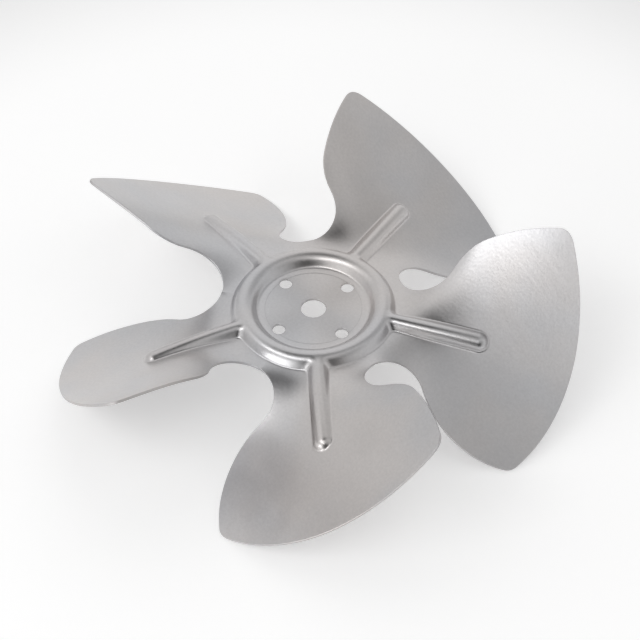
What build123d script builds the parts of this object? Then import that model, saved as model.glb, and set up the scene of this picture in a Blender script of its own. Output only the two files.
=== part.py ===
from build123d import *
import os
from math import acos, atan, atan2, comb, cos, degrees, exp, radians, sin, tan

# Axial fan impeller pressed from one flat blank of sheet aluminium.
# Frame: origin at the centre of the hub disc's back face, +Z along the shaft towards the
# side on which the beads stand up, +X along the rib of the first blade.
# Lengths are in millimetres and angles in degrees.

# Sheet and overall size
fan_diameter = 200.0
blade_count = 5
sheet = 1.0

# Holes of the hub disc
centre_hole_diameter = 9.5
bolt_circle_diameter = 33.3
bolt_hole_diameter = 4.9
bolt_count = 4

# Plan outline of a blade: one round lobe with a blunt tip, and a round gullet on each side
gullet_bottom_radius = 36.0
lobe_centre = 78.5
lobe_radius = 38.0
tip_arc_radius = 65.0
tip_skew = 5.5
tip_corner_radius = 6.0

# Blade form: flat up to the bend line, then pitch, camber and sag grow to their full values
bend_line = 29.3
tip_slope = 0.677
tip_camber_radius = 119.05
twist_length = 3.0
tip_sag = 6.7
sag_length = 28.5

# Beads pressed up out of the sheet: a ring round the hub disc and a rib along each blade
ring_radius = 26.45
ring_half_width = 4.3
ring_height = 4.0
rib_reach = 66.8
rib_half_width = 3.6
rib_root_height = 3.6
rib_end_height = 2.6
bead_wall_angle = 57.0

# Construction values
fan_radius = fan_diameter / 2
half_pitch = 180.0 / blade_count
rib_end = rib_reach - rib_half_width
rib_sections = 5
patch_end = 1.04 * fan_radius
patch_half_width = 1.15 * lobe_radius
patch_spans = 8
tool_depth = 3 * sheet


def polar(radius, angle):
    """Point of the plan at a radius and an angle."""
    return Vector(radius * cos(radians(angle)), radius * sin(radians(angle)))


def bearing(point):
    """Angle of a plan vector from +X."""
    return degrees(atan2(point.Y, point.X))


def around(shape):
    """The shape repeated once for each blade."""
    return [shape.rotate(Axis.Z, 2 * half_pitch * k) for k in range(blade_count)]


def lobe_point(angle):
    """Point of the lobe circle at an angle about the lobe's own centre."""
    return Vector(lobe_centre, 0) + polar(lobe_radius, angle)


def gullet_tangent_angle():
    """Angle about the lobe's centre at which the gullet circle touches the lobe circle.

    The gullet circle is centred halfway between two blades, passes through the gullet's
    bottom, and is tangent to the lobe on each side of it."""
    spread = lobe_centre * cos(radians(half_pitch))
    excess = gullet_bottom_radius**2 - 2 * gullet_bottom_radius * spread
    excess += lobe_centre**2 - lobe_radius**2
    gullet_radius = excess / (2 * (lobe_radius + spread - gullet_bottom_radius))
    gullet_centre = polar(gullet_bottom_radius + gullet_radius, half_pitch)
    return bearing(gullet_centre - Vector(lobe_centre, 0))


def tip_corner_angles():
    """Angles about the lobe's centre at which the tip arc cuts the lobe circle."""
    tip_centre = polar(fan_radius - tip_arc_radius, tip_skew)
    step = Vector(lobe_centre, 0) - tip_centre
    cosine = (tip_arc_radius**2 - step.length**2 - lobe_radius**2) / (2 * step.length * lobe_radius)
    opening = degrees(acos(cosine))
    return bearing(step) - opening, bearing(step) + opening


def blade_outline():
    """Edges of one blade's outline and of the gullet that follows it, anticlockwise."""
    flank = gullet_tangent_angle()
    low_corner, high_corner = tip_corner_angles()
    low_root, high_root = lobe_point(-flank), lobe_point(flank)
    low_tip, high_tip = lobe_point(low_corner), lobe_point(high_corner)
    low_flank = ThreePointArc(low_root, lobe_point((low_corner - flank) / 2), low_tip)
    tip = ThreePointArc(low_tip, polar(fan_radius, tip_skew), high_tip)
    high_flank = ThreePointArc(high_tip, lobe_point((high_corner + flank) / 2), high_root)
    next_root = low_root.rotate(Axis.Z, 2 * half_pitch)
    gullet = ThreePointArc(high_root, polar(gullet_bottom_radius, half_pitch), next_root)
    return [low_flank, tip, high_flank, gullet]


def plan_outline():
    """Face of the whole impeller's plan, without its holes."""
    edges = [edge for piece in blade_outline() for edge in around(piece)]
    face = Face(Wire(edges))
    corners = face.vertices().sort_by(lambda vertex: Vector(vertex).length)[-2 * blade_count :]
    return face.fillet_2d(tip_corner_radius, corners)


def form_ordinates():
    """Slope, camber rate and sag at the control stations of the blade's back face.

    The first two stations lie in the hub plane, so the blade leaves it without a crease."""
    span = (patch_end - bend_line) / patch_spans
    past = [max(station - 1, 0) * span for station in range(patch_spans + 1)]
    grown = [1 - exp(-distance / twist_length) for distance in past]
    sunk = [1 - exp(-((distance / sag_length) ** 2)) for distance in past]
    slopes = [tip_slope * share for share in grown]
    cambers = [share / (2 * tip_camber_radius) for share in grown]
    sags = [tip_sag * share for share in sunk]
    return slopes, cambers, sags


def along_blade(ordinates, reach):
    """Value at a distance from the axis of the Bezier curve with these ordinates."""
    share = max((reach - bend_line) / (patch_end - bend_line), 0)
    return sum(
        value * comb(patch_spans, k) * share**k * (1 - share) ** (patch_spans - k)
        for k, value in enumerate(ordinates)
    )


def blade_surface():
    """Bezier face of the blade's back: height = slope * y + camber * y**2 - sag."""
    span = (patch_end - bend_line) / patch_spans
    net = []
    for k, (slope, camber, sag) in enumerate(zip(*form_ordinates())):
        reach = bend_line + k * span
        lift = slope * patch_half_width
        bow = camber * patch_half_width**2
        low = Vector(reach, -patch_half_width, bow - lift - sag)
        middle = Vector(reach, 0, -bow - sag)
        high = Vector(reach, patch_half_width, bow + lift - sag)
        net.append([low, middle, high])
    return Face.make_bezier_surface(net)


def blade(outline_prism):
    """One blade: its back face trimmed to the outline and thickened along its normals."""
    trimmed = (blade_surface() & outline_prism).faces().sort_by(SortBy.AREA)[-1]
    return Solid.thicken(trimmed, sheet, (0, 0, 1))


def bead_profile(half_width, height, side):
    """Section of a bead over local x, with the sheet's back at y = 0.

    side is +1 for the outer skin and -1 for the hollow behind it. Both are offsets, by half
    the sheet, of one centre line: two straight walls and a round crest tangent to them. The
    walls run on past the feet, so that the skin is rooted in the sheet and the hollow is open."""
    offset = side * sheet / 2
    wall = radians(bead_wall_angle)
    crest_radius = (half_width - height / tan(wall)) / tan(wall / 2) + offset
    foot_x = half_width + offset * tan(wall / 2)
    foot_y = sheet / 2 + offset
    bottom_y = sheet / 2 if side > 0 else -tool_depth
    bottom_x = foot_x + (foot_y - bottom_y) / tan(wall)
    apex = (0, foot_y + foot_x * tan(wall))
    face = make_face(Polyline((-bottom_x, bottom_y), apex, (bottom_x, bottom_y), close=True))
    return fillet(face.vertices().sort_by(Axis.Y)[-1], crest_radius)


def ring_tool(side):
    """Solid of the ring bead's outer skin or of the hollow behind it."""
    section = Plane.XZ * (Pos(ring_radius, 0) * bead_profile(ring_half_width, ring_height, side))
    return revolve(section, Axis.Z)


def rib_plane(reach):
    """Plane across a rib: local x along the blade's slope, local y along the sheet's normal."""
    slopes, _, sags = form_ordinates()
    tilt = atan(along_blade(slopes, reach))
    return Plane((reach, 0, -along_blade(sags, reach)), x_dir=(0, cos(tilt), sin(tilt)), z_dir=(1, 0, 0))


def rib_section(reach, side):
    """Section of the rib bead at a distance from the axis; its height falls towards the tip."""
    share = (reach - ring_radius) / (rib_end - ring_radius)
    height = rib_root_height + share * (rib_end_height - rib_root_height)
    return rib_plane(reach) * bead_profile(rib_half_width, height, side)


def rib_tool(side):
    """Solid of one rib's outer skin or of the hollow behind it, with its round outer end."""
    step = (rib_end - ring_radius) / (rib_sections - 1)
    body = loft([rib_section(ring_radius + k * step, side) for k in range(rib_sections)])
    end_plane = rib_plane(rib_end)
    normal = Axis(end_plane.origin, -end_plane.y_dir)
    half = split(rib_section(rib_end, side), Plane(end_plane.origin, z_dir=end_plane.x_dir), Keep.TOP)
    return body.fuse(revolve(half, normal, 180))


def hub_web(outline):
    """Flat middle of the sheet, out to the bend line of every blade."""
    bend_circle = bend_line / cos(radians(half_pitch))
    polygon = RegularPolygon(bend_circle, blade_count, rotation=half_pitch)
    return extrude(outline & polygon, sheet)


def holes():
    """Centre hole and bolt holes, as cutters; one bolt hole lies on the line of a rib."""
    bolts = [
        Pos(polar(bolt_circle_diameter / 2, k * 360 / bolt_count)) * Circle(bolt_hole_diameter / 2)
        for k in range(bolt_count)
    ]
    return [extrude(circle, tool_depth, both=True) for circle in [Circle(centre_hole_diameter / 2), *bolts]]


def impeller():
    """The pressed sheet: its skin with the beads' skins, less the hollows and the holes."""
    outline = plan_outline()
    blades = around(blade(extrude(outline, fan_radius, both=True)))
    skin = hub_web(outline).fuse(*blades, ring_tool(1), *around(rib_tool(1)))
    return skin.cut(ring_tool(-1), *around(rib_tool(-1)), *holes())


os.makedirs("parts", exist_ok=True)
export_step(impeller(), "parts/impeller.step")
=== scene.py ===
from math import cos, radians, sin

import bmesh
import bpy
import numpy as np
from mathutils import Matrix, Vector


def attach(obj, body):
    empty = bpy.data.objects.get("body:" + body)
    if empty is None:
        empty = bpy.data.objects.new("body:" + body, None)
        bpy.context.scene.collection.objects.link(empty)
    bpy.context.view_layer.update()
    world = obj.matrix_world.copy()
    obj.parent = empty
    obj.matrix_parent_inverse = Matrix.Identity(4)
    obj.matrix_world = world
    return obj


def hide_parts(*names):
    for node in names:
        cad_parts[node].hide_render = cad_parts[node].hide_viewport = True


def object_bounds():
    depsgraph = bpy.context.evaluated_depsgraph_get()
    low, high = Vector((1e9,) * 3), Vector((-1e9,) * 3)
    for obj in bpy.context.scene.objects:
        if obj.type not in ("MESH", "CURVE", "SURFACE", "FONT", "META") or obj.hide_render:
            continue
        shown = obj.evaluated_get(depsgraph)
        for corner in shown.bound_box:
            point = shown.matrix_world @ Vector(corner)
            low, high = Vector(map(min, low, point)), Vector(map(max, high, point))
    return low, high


# An axial fan impeller pressed from one sheet of aluminium: five twisted blades round a flat
# hub disc, with a raised ring and a raised rib along each blade. The sheet is worked out as a
# middle surface in millimetres and given its thickness along its own normals.

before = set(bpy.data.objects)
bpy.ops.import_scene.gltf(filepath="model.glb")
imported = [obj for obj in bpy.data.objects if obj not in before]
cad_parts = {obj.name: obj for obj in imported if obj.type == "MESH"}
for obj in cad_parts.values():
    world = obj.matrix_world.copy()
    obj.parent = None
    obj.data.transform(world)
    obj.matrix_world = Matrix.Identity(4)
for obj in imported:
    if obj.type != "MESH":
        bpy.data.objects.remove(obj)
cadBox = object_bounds()
print("frame loaded")

metre = 0.001  # one millimetre, which the shapes are worked out in

# The sheet, in millimetres and degrees.
sheet = {
    "thickness": 1.0,
    "blades": 5,
    "edgeBreak": 0.12,  # the small bevel that the press tool leaves on the cut edge
    "sharpAngle": 32.0,  # edges that turn more than this are shaded sharp
}

# The camera, in degrees and metres, with its lens and sensor in millimetres.
view = {
    "azimuth": 231.34,  # degrees round the shaft, 0 looks along +Y
    "elevation": 47.33,
    "roll": 1.005,
    "distance": 0.7198,
    "shiftRight": -0.002475,  # how far the optical axis passes from the hub, in metres
    "shiftUp": 0.004204,
    "lens": 107.46,
    "sensor": 36.0,
}


# The camera looks at the hub from the given side, and is turned about its own axis by roll.
def makeCamera(v):
    azimuth, elevation, roll = radians(v["azimuth"]), radians(v["elevation"]), radians(v["roll"])
    level = Vector((cos(azimuth), sin(azimuth), 0))
    flat = Vector((-sin(azimuth), cos(azimuth), 0))
    forward = flat * cos(elevation) - Vector((0, 0, sin(elevation)))
    upright = flat * sin(elevation) + Vector((0, 0, cos(elevation)))
    right = level * cos(roll) - upright * sin(roll)
    up = level * sin(roll) + upright * cos(roll)
    place = -right * v["shiftRight"] - up * v["shiftUp"] - forward * v["distance"]
    place.z += sheet["thickness"] / 2 * metre
    data = bpy.data.cameras.new("camera")
    data.lens = v["lens"]
    data.sensor_width = v["sensor"]
    camera = bpy.data.objects.new("camera", data)
    bpy.context.collection.objects.link(camera)
    turn = Matrix((right, up, -forward)).transposed().to_4x4()
    camera.matrix_world = Matrix.Translation(place) @ turn
    bpy.context.scene.camera = camera


halfPitch = np.pi / sheet["blades"]
probe = 0.01  # half the step over which a slope is taken

# One blade's outline in plan, along the rib (u) and across it (v), in millimetres and degrees.
# Each side is a chain of tangent arcs: gullet, shoulder, flank and corner, up to the tip arc.
# A gullet or a shoulder has its radius and how far it turns.
outline = {
    "gulletBottom": 35.9,
    "highGullet": (11.5, 120.2),
    "highShoulder": (16.6, 46.8),
    "highFlank": 126.0,
    "lowGullet": (10.93, 111.5),
    "lowShoulder": (35.35, 27.3),
    "lowFlank": 39.65,
    "corner": 6.0,
    "tipCentre": (33.93, 3.34),
    "tipRadius": 65.4,
    "arcSteps": 59,  # steps along a gullet or a shoulder, then a flank, a corner and the tip
    "flankSteps": 79,
    "cornerSteps": 32,
    "tipSteps": 399,
}


# Points of an arc that starts at a point with a heading and turns left (positive) or right.
# Plan points and headings are complex numbers, u + iv. Gives the points and the last heading.
def turningArc(start, heading, radius, turn):
    side = np.sign(turn)
    centre = start + side * radius * 1j * heading
    angles = np.linspace(0, turn, outline["arcSteps"] + 1)
    points = centre - side * radius * 1j * heading * np.exp(1j * angles)
    return points, heading * np.exp(1j * turn)


# Centre of the corner circle that touches the flank circle and the tip circle from inside.
def cornerCentre(flankCentre, flankRadius, tipCentre, tipRadius, corner):
    across = tipCentre - flankCentre
    reach, other = flankRadius - corner, tipRadius - corner
    along = (abs(across) ** 2 + reach**2 - other**2) / (2 * abs(across))
    offset = np.sqrt(reach**2 - along**2)
    unit = across / abs(across)
    options = [flankCentre + unit * (along + s * 1j * offset) for s in (1, -1)]
    return max(options, key=lambda point: point.imag)


# One side of the outline, as for the high side, where v is positive: the points from the
# gullet's bottom to the middle of the tip corner, and those from there to the tip arc.
def sideOfBlade(gullet, shoulder, flankRadius, tipCentre):
    start = outline["gulletBottom"] * np.exp(1j * halfPitch)
    heading = np.exp(1j * (halfPitch - np.pi / 2))
    first, heading = turningArc(start, heading, gullet[0], radians(gullet[1]))
    second, heading = turningArc(first[-1], heading, shoulder[0], -radians(shoulder[1]))
    flankCentre = second[-1] - 1j * heading * flankRadius
    corner = outline["corner"]
    middle = cornerCentre(flankCentre, flankRadius, tipCentre, outline["tipRadius"], corner)
    flankTouch = np.angle(middle - flankCentre)
    tipTouch = np.angle(middle - tipCentre)
    flankStart = np.angle(second[-1] - flankCentre)
    flankAngles = np.linspace(flankStart, flankTouch, outline["flankSteps"] + 1)
    third = flankCentre + flankRadius * np.exp(1j * flankAngles)
    cornerAngles = np.linspace(flankTouch, tipTouch, outline["cornerSteps"] + 1)
    rounding = middle + corner * np.exp(1j * cornerAngles)
    halfway = outline["cornerSteps"] // 2
    side = np.concatenate([first, second[1:], third[1:], rounding[1 : halfway + 1]])
    return side, rounding[halfway:], tipTouch


# The outline's low side, tip and high side, each from its first point anticlockwise.
def bladeOutline():
    tipCentre = complex(*outline["tipCentre"])
    high, highCorner, highTouch = sideOfBlade(
        outline["highGullet"], outline["highShoulder"], outline["highFlank"], tipCentre
    )
    low, lowCorner, lowTouch = sideOfBlade(
        outline["lowGullet"], outline["lowShoulder"], outline["lowFlank"], tipCentre.conjugate()
    )
    tipAngles = np.linspace(-lowTouch, highTouch, outline["tipSteps"] + 1)
    arc = tipCentre + outline["tipRadius"] * np.exp(1j * tipAngles)
    tip = np.concatenate([lowCorner.conj(), arc[1:-1], highCorner[::-1]])
    return low.conj(), tip, high


# How the flat blank is twisted: the pitch grows from the start line with this reach and power.
# The sag is how far the tip sinks, and the web is the flat stretch between two blades.
form = {
    "start": 24.0,
    "lean": 0.061,  # how the start line slants across the blade
    "slope": 0.700,
    "slopeGain": 0.010,  # share that the slope gains from its middle over its span
    "slopeMiddle": 60.0,
    "slopeSpan": 40.0,
    "growth": 20.07,
    "power": 2.64,
    "camber": 0.0034,
    "sag": 11.0,
    "sagReach": 69.55,
    "sagPower": 3,
    "webPower": 12,
    "webReach": 42.0,
}


# Height of the twisted blank over the plan: slope times v, plus camber times v squared, less
# the sag, all growing from the start line. The web between two blades stays flat.
def blankHeight(u, v):
    f = form
    radius = np.hypot(u, v)
    atLeast = 1e-6  # keeps the powers real on the flat side of the start line
    past = np.maximum(u - f["start"] - f["lean"] * v, atLeast)
    grown = past ** f["power"] / (past ** f["power"] + f["growth"] ** f["power"])
    sunk = past ** f["sagPower"] / (past ** f["sagPower"] + f["sagReach"] ** f["sagPower"])
    share = np.clip(np.abs(np.arctan2(v, u)) / halfPitch, 0, 1) ** f["webPower"]
    atGullet = 1 + (outline["gulletBottom"] / f["webReach"]) ** f["webPower"]
    web = 1 - share * atGullet / (1 + (radius / f["webReach"]) ** f["webPower"])
    pitch = f["slope"] * (1 + f["slopeGain"] * (u - f["slopeMiddle"]) / f["slopeSpan"])
    return pitch * grown * v * np.clip(web, 0, 1) + f["camber"] * grown * v**2 - f["sag"] * sunk


# The ring round the disc and the ribs along the blades.
beads = {
    "wallAngle": 57.0,
    "foot": 1.5,  # radius between the wall and the sheet, at the middle of the thickness
    "ringRadius": 26.45,
    "ringHalf": 4.3,
    "ringHeight": 4.0,
    "innerHalf": 5.1,  # the ring's side towards the disc is wider and softer
    "innerWallAngle": 53.0,
    "innerFoot": 2.2,
    "ribStart": 28.45,
    "ribEnd": 63.2,
    "ribHalf": 3.6,
    "ribRootHeight": 3.6,
    "ribTipHeight": 2.6,
    "joint": 2.6,  # how far the rib and the ring are blended where they meet
}


# Height of a bead over a point that lies this far inside its foot line: a round foot, a
# straight wall, and a round crest that is level at half the bead's width.
def beadHeight(inside, half, height, wall, foot):
    sine, slope, halfSlope = np.sin(wall), np.tan(wall), np.tan(wall / 2)
    footLength = foot * halfSlope
    crest = (half - height / slope) / halfSlope
    fromFoot = np.clip(inside + footLength, 0, foot * sine)
    footPart = foot - np.sqrt(foot**2 - fromFoot**2)
    wallPart = inside * slope
    toCrest = np.clip(half - inside, 0, crest * sine)
    crestPart = height - crest + np.sqrt(crest**2 - toCrest**2)
    onWall = inside > foot * sine - footLength
    onCrest = inside > half - crest * sine
    return np.where(onCrest, crestPart, np.where(onWall, wallPart, footPart))


# Height of the ring and rib beads over the blank. Both are bands about a centre line, joined
# with a smooth minimum of their distances, so that their walls meet in a fillet.
def pressedHeight(u, v):
    b = beads
    radius = np.hypot(u, v)
    inner = radius < b["ringRadius"]
    ringHalf = np.where(inner, b["innerHalf"], b["ringHalf"])
    wall = np.radians(np.where(inner, b["innerWallAngle"], b["wallAngle"]))
    foot = np.where(inner, b["innerFoot"], b["foot"])
    ring = np.abs(radius - b["ringRadius"]) - ringHalf
    tilt = (blankHeight(u, v * 0 + probe) - blankHeight(u, v * 0 - probe)) / (2 * probe)
    across = v * np.sqrt(1 + tilt**2)
    beyond = np.maximum(np.maximum(b["ribStart"] - u, u - b["ribEnd"]), 0)
    rib = np.hypot(beyond, across) - b["ribHalf"]
    overlap = np.maximum(b["joint"] - np.abs(ring - rib), 0) / b["joint"]
    inside = -(np.minimum(ring, rib) - overlap**2 * b["joint"] / 4)
    ringShare = np.clip(0.5 + (rib - ring) / (2 * b["joint"]), 0, 1)
    ringShare = ringShare**2 * (3 - 2 * ringShare)
    outward = np.clip((u - b["ringRadius"]) / (b["ribEnd"] - b["ringRadius"]), 0, 1)
    ribHeight = b["ribRootHeight"] + outward * (b["ribTipHeight"] - b["ribRootHeight"])
    half = ringShare * ringHalf + (1 - ringShare) * b["ribHalf"]
    height = ringShare * b["ringHeight"] + (1 - ringShare) * ribHeight
    return beadHeight(inside, half, height, wall, foot)


# The middle surface over plan points of one blade's sector: the blank, moved along its own
# normal by the height of the beads.
def middleSurface(u, v):
    slopeU = (blankHeight(u + probe, v) - blankHeight(u - probe, v)) / (2 * probe)
    slopeV = (blankHeight(u, v + probe) - blankHeight(u, v - probe)) / (2 * probe)
    normal = np.stack([-slopeU, -slopeV, np.ones_like(u)], -1)
    normal /= np.linalg.norm(normal, axis=-1, keepdims=True)
    blank = np.stack([u, v, blankHeight(u, v) + sheet["thickness"] / 2], -1)
    return blank + normal * pressedHeight(u, v)[..., None]


# Unit normal of the middle surface, from its differences along u and v.
def middleNormal(u, v):
    step = 2 * probe
    alongU = middleSurface(u + step, v) - middleSurface(u - step, v)
    alongV = middleSurface(u, v + step) - middleSurface(u, v - step)
    normal = np.cross(alongU, alongV)
    return normal / np.linalg.norm(normal, axis=-1, keepdims=True)


# How finely the sheet is divided, and where its rows and columns change their spacing.
grid = {
    "discEdge": 19.6,
    "ringInner": 20.2,
    "ringOuter": 32.6,
    "ribZone": 5.6,
    "ribZoneColumns": 34,
    "flankColumns": 17,
    "flankCrowding": 1.5,
    "rootFade": 4,  # how fast the rows leave the gullet circle's bow and take on the tip's
    "tipFade": 6,
    "rowEnds": (60.5, 70.0, 93.0),
    "rows": (22, 30, 14, 10),
    "discRows": (2, 38, 5),
}


# Steps from 0 to 1 in several stretches, each with its own number of equal steps.
def stretches(ends, counts):
    parts = [np.linspace(a, b, n + 1)[:-1] for a, b, n in zip(ends[:-1], ends[1:], counts)]
    return np.concatenate(parts + [[ends[-1]]])


# Plan grid of one blade, rows from the gullet circle to the tip and columns from the low side
# to the high side. A row bows through its side points and its middle, the first row is the
# gullet circle, and the last is the tip.
def bladePlan():
    low, tip, high = bladeOutline()
    bottom = outline["gulletBottom"]
    order = np.argsort(tip.imag)
    tipMiddle = np.interp(0, tip.imag[order], tip.real[order])
    middle = stretches((bottom, *grid["rowEnds"], tipMiddle), grid["rows"])
    share = (middle - bottom) / (tipMiddle - bottom)
    sides = []
    for side in (low, high):
        u = side.real[0] + share * (side.real[-1] - side.real[0])
        sides.append((u, np.interp(u, side.real, side.imag)))
    zone = grid["ribZone"]
    inner = np.linspace(-zone, zone, grid["ribZoneColumns"] + 1)
    outer = 1 - np.linspace(1, 0, grid["flankColumns"] + 1)[1:] ** grid["flankCrowding"]
    lowV = -zone + outer[::-1][None, :] * (sides[0][1][:, None] + zone)
    highV = zone + outer[None, :] * (sides[1][1][:, None] - zone)
    v = np.concatenate([lowV, np.repeat(inner[None, :], len(middle), 0), highV], 1)
    sideU = np.where(v < 0, sides[0][0][:, None], sides[1][0][:, None])
    sideV = np.where(v < 0, sides[0][1][:, None], sides[1][1][:, None])
    bowed = middle[:, None] + (sideU - middle[:, None]) * (v / sideV) ** 2
    rootGap = np.sqrt(bottom**2 - np.minimum(v[0] ** 2, bottom**2)) - bowed[0]
    tipGap = np.interp(v[-1], tip.imag[order], tip.real[order]) - bowed[-1]
    t = share[:, None]
    rootShare, tipShare = (1 - t) ** grid["rootFade"], t ** grid["tipFade"]
    u = bowed + rootShare * rootGap[None, :] + tipShare * tipGap[None, :]
    return u, v


# Plan grid of one sector of the hub, rows from the disc's edge out to the gullet circle.
def hubPlan(rootV):
    bottom = outline["gulletBottom"]
    ends = (grid["discEdge"], grid["ringInner"], grid["ringOuter"], bottom)
    radii = stretches(ends, grid["discRows"])
    angles = np.arcsin(np.clip(rootV / bottom, -sin(halfPitch), sin(halfPitch)))
    return radii[:, None] * np.cos(angles)[None, :], radii[:, None] * np.sin(angles)[None, :]


# A sector's points or directions, turned to every blade's place: blades, rows, columns, xyz.
def turned(points):
    turns = 2 * halfPitch * np.arange(sheet["blades"])
    c, s = np.cos(turns)[:, None, None], np.sin(turns)[:, None, None]
    x, y, z = points[..., 0], points[..., 1], points[..., 2]
    return np.stack([c * x - s * y, s * x + c * y, np.repeat(z[None], len(turns), 0)], -1)


# Quads between the rows and columns of an index grid.
def gridFaces(index):
    corners = (index[:-1, :-1], index[:-1, 1:], index[1:, 1:], index[1:, :-1])
    return np.stack([c.ravel() for c in corners], -1)


# Quads between two closed loops of indices.
def bandFaces(first, second):
    return np.stack([first, np.roll(first, -1), np.roll(second, -1), second], -1)


# The hub's holes: their radii, and the circle that the bolt holes stand on.
holes = {
    "centre": 4.75,
    "bolt": 2.45,
    "boltCircle": 16.65,
    "bolts": 4,
    "segments": 64,
}


# A circle of the hub's holes, as a closed loop of points at a height.
def circle(centre, radius, height):
    angles = 2 * np.pi * np.arange(holes["segments"]) / holes["segments"]
    x = centre[0] + radius * np.cos(angles)
    y = centre[1] + radius * np.sin(angles)
    return np.stack([x, y, np.full_like(x, height)], -1)


# The whole sheet as one closed mesh: two skins, the cut edge with its small bevels, the walls
# of the holes, and the flat disc filled in between the loops.
def makeSheet():
    half, bevel = sheet["thickness"] / 2, sheet["edgeBreak"]
    bladeU, bladeV = bladePlan()
    hubU, hubV = hubPlan(bladeV[0])
    hub, hubNormal = turned(middleSurface(hubU, hubV)), turned(middleNormal(hubU, hubV))
    blade, bladeNormal = turned(middleSurface(bladeU, bladeV)), turned(middleNormal(bladeU, bladeV))
    blades, rows, columns = blade.shape[:3]
    around = blades * (columns - 1)
    hubMiddle = hub[:, :, :-1].transpose(1, 0, 2, 3).reshape(-1, 3)
    hubDirection = hubNormal[:, :, :-1].transpose(1, 0, 2, 3).reshape(-1, 3)
    hubIndex = np.arange(len(hubMiddle)).reshape(-1, around)
    outer = np.arange(blades * (rows - 1) * columns).reshape(blades, rows - 1, columns)
    outer = outer + len(hubMiddle)
    sectorRoot = (np.arange(columns)[None, :] + (columns - 1) * np.arange(blades)[:, None]) % around
    bladeIndex = np.concatenate([hubIndex[-1][sectorRoot][:, None, :], outer], 1)
    middle = np.concatenate([hubMiddle, blade[:, 1:].reshape(-1, 3)])
    direction = np.concatenate([hubDirection, bladeNormal[:, 1:].reshape(-1, 3)])

    # the outline, anticlockwise: out along a low side, over the tip, back along the high side
    rim = np.concatenate([
        np.concatenate([b[1:, 0], b[-1, 1:], b[-2:0:-1, -1], b[:1, -1]]) for b in bladeIndex
    ])
    forwards = np.roll(middle[rim], -1, 0) - middle[rim]
    forwards /= np.linalg.norm(forwards, axis=1, keepdims=True)
    tangent = forwards + np.roll(forwards, 1, 0)
    outward = np.cross(tangent, direction[rim])
    outward /= np.linalg.norm(outward, axis=1, keepdims=True)

    top = middle + half * direction
    bottom = middle - half * direction
    upperWall = middle[rim] + (half - bevel) * direction[rim]
    lowerWall = middle[rim] - (half - bevel) * direction[rim]
    top[rim] -= bevel * outward
    bottom[rim] -= bevel * outward

    count = len(middle)
    rimSpan = np.arange(len(rim))
    upperIndex, lowerIndex = 2 * count + rimSpan, 2 * count + len(rim) + rimSpan
    wrapped = np.concatenate([hubIndex, hubIndex[:, :1]], 1)
    skin = np.concatenate([gridFaces(wrapped)] + [gridFaces(b) for b in bladeIndex])
    faces = [skin[:, ::-1], skin + count]
    faces.append(bandFaces(rim, upperIndex))
    faces.append(bandFaces(upperIndex, lowerIndex))
    faces.append(bandFaces(lowerIndex, rim + count))
    points = [top, bottom, upperWall, lowerWall]
    total = 2 * count + 2 * len(rim)

    # each hole is four loops: its rim on the top, its wall's two ends, and its rim beneath
    turns = 2 * np.pi * np.arange(holes["bolts"]) / holes["bolts"]
    boltCircle = holes["boltCircle"]
    centres = [(0, 0)] + [(boltCircle * cos(a), boltCircle * sin(a)) for a in turns]
    topLoops, bottomLoops = [hubIndex[0]], [hubIndex[0] + count]
    levels = ((bevel, 2 * half), (0, 2 * half - bevel), (0, bevel), (bevel, 0))
    for k, centre in enumerate(centres):
        radius = holes["bolt"] if k else holes["centre"]
        loops = []
        for widening, height in levels:
            points.append(circle(centre, radius + widening, height))
            loops.append(total + np.arange(holes["segments"]))
            total += holes["segments"]
        faces += [bandFaces(a, b) for a, b in zip(loops[:-1], loops[1:])]
        topLoops.append(loops[0])
        bottomLoops.append(loops[-1])

    mesh = bpy.data.meshes.new("impellerSheet")
    quads = np.concatenate(faces)
    mesh.from_pydata((np.concatenate(points) * metre).tolist(), [], quads.tolist())
    work = bmesh.new()
    work.from_mesh(mesh)
    work.verts.ensure_lookup_table()
    for group in (topLoops, bottomLoops):
        edges = []
        for loop in group:
            ends = zip(loop.tolist(), np.roll(loop, -1).tolist())
            edges += [work.edges.get((work.verts[a], work.verts[b])) for a, b in ends]
        bmesh.ops.triangle_fill(work, use_beauty=True, use_dissolve=False, edges=edges)
    bmesh.ops.recalc_face_normals(work, faces=work.faces)
    work.to_mesh(mesh)
    work.free()

    # the material finds the sheared edge by this value
    cutEdge = np.zeros(len(mesh.vertices), dtype=np.float32)
    cutEdge[2 * count:] = 1.0
    mesh.attributes.new("cutEdge", "FLOAT", "POINT").data.foreach_set("value", cutEdge)
    mesh.shade_smooth()
    mesh.set_sharp_from_angle(angle=radians(sheet["sharpAngle"]))
    piece = bpy.data.objects.new("impellerSheet", mesh)
    bpy.context.collection.objects.link(piece)
    return piece


# The mill finish. Each scale is in features to the metre, and each depth in metres.
finish = {
    "warm": (0.578, 0.552, 0.540, 1),
    "cool": (0.526, 0.526, 0.540, 1),
    "lightest": 0.94,  # how much of the colour the light and the dark clouds keep
    "darkest": 0.89,
    "roughness": (0.28, 0.34),
    "edgeRoughness": 0.20,  # added on the sheared edge
    "cloudScale": 38.0,
    "cloudRange": (0.30, 0.70),  # the part of the noise that is spread over all its shades
    "tintScale": 13.0,
    "tintRange": (0.35, 0.65),
    "wearRange": (0.25, 0.75),
    "waveScale": 55.0,
    "grainScale": 1000.0,
    "grainShade": 0.20,  # how much lighter the grain's tops are
    "rollShare": 0.4,  # height of the rolling lines against the grain
    "rollScale": (20.0, 800.0, 20.0),  # along the rolling lines, across them, and through
    "rollTurn": 24.0,  # degrees from the first rib
    "waveDepth": 0.00010,
    "grainDepth": 0.000026,
    "dieMark": (0.0183, 0.0002),  # radius and half width of the faint ring on the disc
    "dieMarkShade": -0.10,
    "dieMarkDepth": 0.00004,
}


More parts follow.
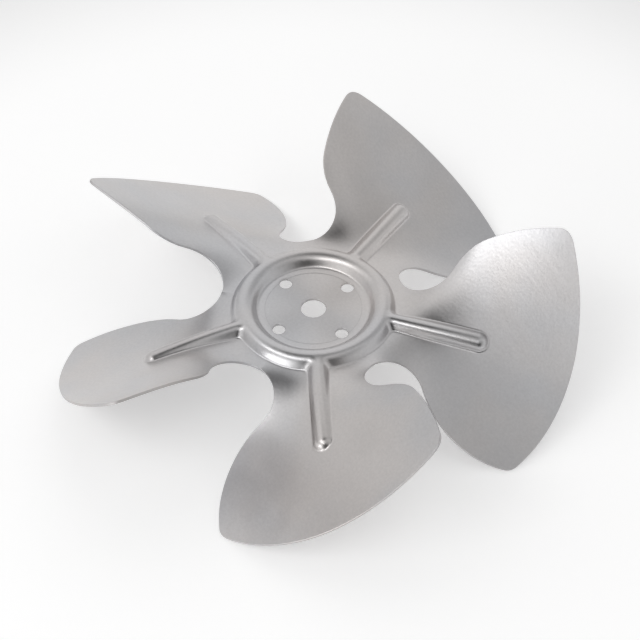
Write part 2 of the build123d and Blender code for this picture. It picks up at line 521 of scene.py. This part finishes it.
# A node of the tree with some of its inputs set by name.
def addNode(tree, kind, **inputs):
    node = tree.nodes.new(kind)
    for name, value in inputs.items():
        node.inputs[name].default_value = value
    return node


# A Math node fed by sockets or plain numbers.
def sums(tree, operation, *terms):
    node = tree.nodes.new("ShaderNodeMath")
    node.operation = operation
    for socket, term in zip(node.inputs, terms):
        if isinstance(term, (int, float)):
            socket.default_value = term
        else:
            tree.links.new(term, socket)
    return node.outputs[0]


# Noise over a place, with features of the given scale.
def noise(tree, place, scale, detail=3.0, roughness=0.55):
    node = addNode(tree, "ShaderNodeTexNoise", Scale=scale, Detail=detail, Roughness=roughness)
    tree.links.new(place, node.inputs["Vector"])
    return node.outputs["Fac"]


# A value carried smoothly from one range to another and held at its ends.
def carried(tree, value, low, high, first, last):
    node = tree.nodes.new("ShaderNodeMapRange")
    node.interpolation_type = "SMOOTHSTEP"
    for socket, number in zip(node.inputs[1:5], (low, high, first, last)):
        socket.default_value = number
    tree.links.new(value, node.inputs["Value"])
    return node.outputs["Result"]


# Mill-finish aluminium: warm and cool greys in wide clouds, faint rolling lines, fine grain,
# slow waves that the press leaves, a faint die mark round the disc, and a duller sheared edge.
def millAluminium(f):
    material = bpy.data.materials.new("millAluminium")
    material.use_nodes = True
    tree = material.node_tree
    link = tree.links.new
    shader = tree.nodes["Principled BSDF"]
    shader.inputs["Metallic"].default_value = 1.0
    place = tree.nodes.new("ShaderNodeTexCoord").outputs["Object"]
    edge = tree.nodes.new("ShaderNodeAttribute")
    edge.attribute_name = "cutEdge"
    cutEdge = edge.outputs["Fac"]

    clouds = noise(tree, place, f["cloudScale"], detail=2.0, roughness=0.5)
    clouds = carried(tree, clouds, *f["cloudRange"], 0.0, 1.0)
    tint = carried(tree, noise(tree, place, f["tintScale"]), *f["tintRange"], 0.0, 1.0)
    waves = noise(tree, place, f["waveScale"], detail=1.0)
    grain = noise(tree, place, f["grainScale"], detail=2.0)
    roll = tree.nodes.new("ShaderNodeMapping")
    roll.inputs["Rotation"].default_value = (0, 0, radians(f["rollTurn"]))
    roll.inputs["Scale"].default_value = f["rollScale"]
    link(place, roll.inputs["Vector"])
    lines = noise(tree, roll.outputs["Vector"], 1.0)

    # distance from the shaft's axis, for the die mark
    flat = tree.nodes.new("ShaderNodeVectorMath")
    flat.operation = "MULTIPLY"
    flat.inputs[1].default_value = (1, 1, 0)
    link(place, flat.inputs[0])
    length = tree.nodes.new("ShaderNodeVectorMath")
    length.operation = "LENGTH"
    link(flat.outputs["Vector"], length.inputs[0])
    radius, halfWidth = f["dieMark"]
    offset = sums(tree, "SUBTRACT", length.outputs["Value"], radius)
    mark = carried(tree, sums(tree, "ABSOLUTE", offset), 0.0, halfWidth, 1.0, 0.0)

    hue = tree.nodes.new("ShaderNodeMix")
    hue.data_type = "RGBA"
    hue.inputs["A"].default_value = f["cool"]
    hue.inputs["B"].default_value = f["warm"]
    link(tint, hue.inputs["Factor"])
    shade = sums(tree, "MULTIPLY_ADD", clouds, f["lightest"] - f["darkest"], f["darkest"])
    shade = sums(tree, "MULTIPLY_ADD", mark, f["dieMarkShade"], shade)
    shade = sums(tree, "MULTIPLY_ADD", grain, f["grainShade"], shade)
    colour = tree.nodes.new("ShaderNodeVectorMath")
    colour.operation = "SCALE"
    link(hue.outputs["Result"], colour.inputs[0])
    link(shade, colour.inputs["Scale"])
    link(colour.outputs["Vector"], shader.inputs["Base Color"])

    # roughness follows the lines and the clouds, half and half
    worn = sums(tree, "MULTIPLY_ADD", lines, 0.5, sums(tree, "MULTIPLY", clouds, 0.5))
    rough = carried(tree, worn, *f["wearRange"], *f["roughness"])
    rough = sums(tree, "MULTIPLY_ADD", cutEdge, f["edgeRoughness"], rough)
    link(rough, shader.inputs["Roughness"])

    wide = addNode(tree, "ShaderNodeBump", Strength=1.0, Distance=f["waveDepth"])
    link(waves, wide.inputs["Height"])
    fine = addNode(tree, "ShaderNodeBump", Strength=1.0, Distance=f["grainDepth"])
    link(sums(tree, "MULTIPLY_ADD", lines, f["rollShare"], grain), fine.inputs["Height"])
    link(wide.outputs["Normal"], fine.inputs["Normal"])
    groove = addNode(tree, "ShaderNodeBump", Strength=1.0, Distance=f["dieMarkDepth"])
    groove.invert = True
    link(mark, groove.inputs["Height"])
    link(fine.outputs["Normal"], groove.inputs["Normal"])
    link(groove.outputs["Normal"], shader.inputs["Normal"])
    return material


# The studio, in metres. Directions are as studioDirection takes them.
studio = {
    "floorSize": 6.0,
    "floorColour": (0.88, 0.88, 0.88, 1),
    "floorRoughness": 0.9,
    "floorSpecular": 0.1,
    "floorGlow": (0.33, 0.02),  # painted light, a glow that keeps the floor pale near the part and fills its shadow there, and less so further off
    "glowReach": (0.19, 0.34),
    "sky": 0.79,
    # soft patches of the sky: azimuth, elevation, reach in degrees, and what each adds
    "patches": (
        (0.0, 90.0, 34.0, -0.18),
        (158.0, 80.0, 21.0, -0.74),
        (-86.0, 21.0, 34.0, -0.84),
        (-48.0, 38.0, 32.0, -0.30),
        (33.0, 44.0, 30.0, -0.26),
        (40.0, 72.0, 20.0, -0.14),
        (82.0, 32.0, 46.0, 0.15),
        (172.0, 55.0, 26.0, 0.26),
    ),
    # softboxes: name, azimuth, elevation, distance, width, height and watts
    "lamps": (
        ("keySoftbox", -135.0, 52.0, 1.5, 1.25, 0.42, 3.9),
        ("lowSoftbox", -134.0, 8.0, 1.3, 0.75, 0.28, 2.2),
    ),
}


# Unit vector towards an azimuth and an elevation. Azimuth 0 is to the right of the camera's
# view, 90 away from the camera, and -90 towards it.
def studioDirection(azimuth, elevation):
    a, e = radians(view["azimuth"] + azimuth), radians(elevation)
    return Vector((cos(a) * cos(e), sin(a) * cos(e), sin(e)))


# A wide pale floor that the lowest blade corners stand on. It glows with painted light, most near
# the part, which fills the part's shadow on the floor.
def makeFloor(s, height):
    reach = s["floorSize"] / 2
    corners = [(x * reach, y * reach, height) for x, y in ((-1, -1), (1, -1), (1, 1), (-1, 1))]
    mesh = bpy.data.meshes.new("floor")
    mesh.from_pydata(corners, [], [(0, 1, 2, 3)])
    floor = bpy.data.objects.new("floor", mesh)
    bpy.context.collection.objects.link(floor)
    material = bpy.data.materials.new("paleFloor")
    material.use_nodes = True
    tree = material.node_tree
    shader = tree.nodes["Principled BSDF"]
    shader.inputs["Base Color"].default_value = s["floorColour"]
    shader.inputs["Roughness"].default_value = s["floorRoughness"]
    shader.inputs["Specular IOR Level"].default_value = s["floorSpecular"]
    shader.inputs["Emission Color"].default_value = s["floorColour"]
    place = tree.nodes.new("ShaderNodeTexCoord").outputs["Object"]
    distance = tree.nodes.new("ShaderNodeVectorMath")
    distance.operation = "LENGTH"
    tree.links.new(place, distance.inputs[0])
    # painted light: the floor's glow falls off with distance from the part, a painted pool of light
    # that lightens the part's shadow
    glow = carried(tree, distance.outputs["Value"], *s["glowReach"], *s["floorGlow"])
    tree.links.new(glow, shader.inputs["Emission Strength"])
    mesh.materials.append(material)


# Soft rectangular lamps that face the hub.
def makeLamps(s):
    for name, azimuth, elevation, distance, width, height, power in s["lamps"]:
        data = bpy.data.lights.new(name, "AREA")
        data.shape = "RECTANGLE"
        data.size = width
        data.size_y = height
        data.energy = power
        lamp = bpy.data.objects.new(name, data)
        bpy.context.collection.objects.link(lamp)
        towards = studioDirection(azimuth, elevation)
        lamp.location = towards * distance
        lamp.rotation_euler = towards.to_track_quat("Z", "Y").to_euler()


# A pale sky with soft brighter and darker patches. Each patch rises smoothly from its reach
# to its middle, by the cosine of the angle to it, and they are added up.
def makeSky(s):
    world = bpy.data.worlds.new("studioSky")
    world.use_nodes = True
    tree = world.node_tree
    link = tree.links.new
    place = tree.nodes.new("ShaderNodeTexCoord").outputs["Generated"]
    background = tree.nodes["Background"]
    background.inputs["Color"].default_value = (1, 1, 1, 1)

    # the first sum starts from the sky's own level, and each other one from the sum before it
    total = None
    for azimuth, elevation, reach, level in s["patches"]:
        toMiddle = tree.nodes.new("ShaderNodeVectorMath")
        toMiddle.operation = "DOT_PRODUCT"
        toMiddle.inputs[1].default_value = studioDirection(azimuth, elevation)
        link(place, toMiddle.inputs[0])
        patch = tree.nodes.new("ShaderNodeMapRange")
        patch.interpolation_type = "SMOOTHSTEP"
        patch.inputs["From Min"].default_value = cos(radians(reach))
        patch.inputs["From Max"].default_value = 1.0
        patch.inputs["To Min"].default_value = 0.0
        patch.inputs["To Max"].default_value = level
        link(toMiddle.outputs["Value"], patch.inputs["Value"])
        added = tree.nodes.new("ShaderNodeMath")
        added.operation = "ADD"
        added.inputs[1].default_value = s["sky"]
        link(patch.outputs["Result"], added.inputs[0])
        if total is not None:
            link(total, added.inputs[1])
        total = added.outputs[0]
    link(total, background.inputs["Strength"])
    bpy.context.scene.world = world


piece = makeSheet()
piece.data.materials.append(millAluminium(finish))
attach(piece, "root")
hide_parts("impeller")
print("sheet made:", len(piece.data.polygons), "faces")

makeFloor(studio, float(cadBox[0][2]))
makeLamps(studio)
makeSky(studio)
makeCamera(view)
bpy.context.scene.view_settings.view_transform = "Standard"
print("studio made")
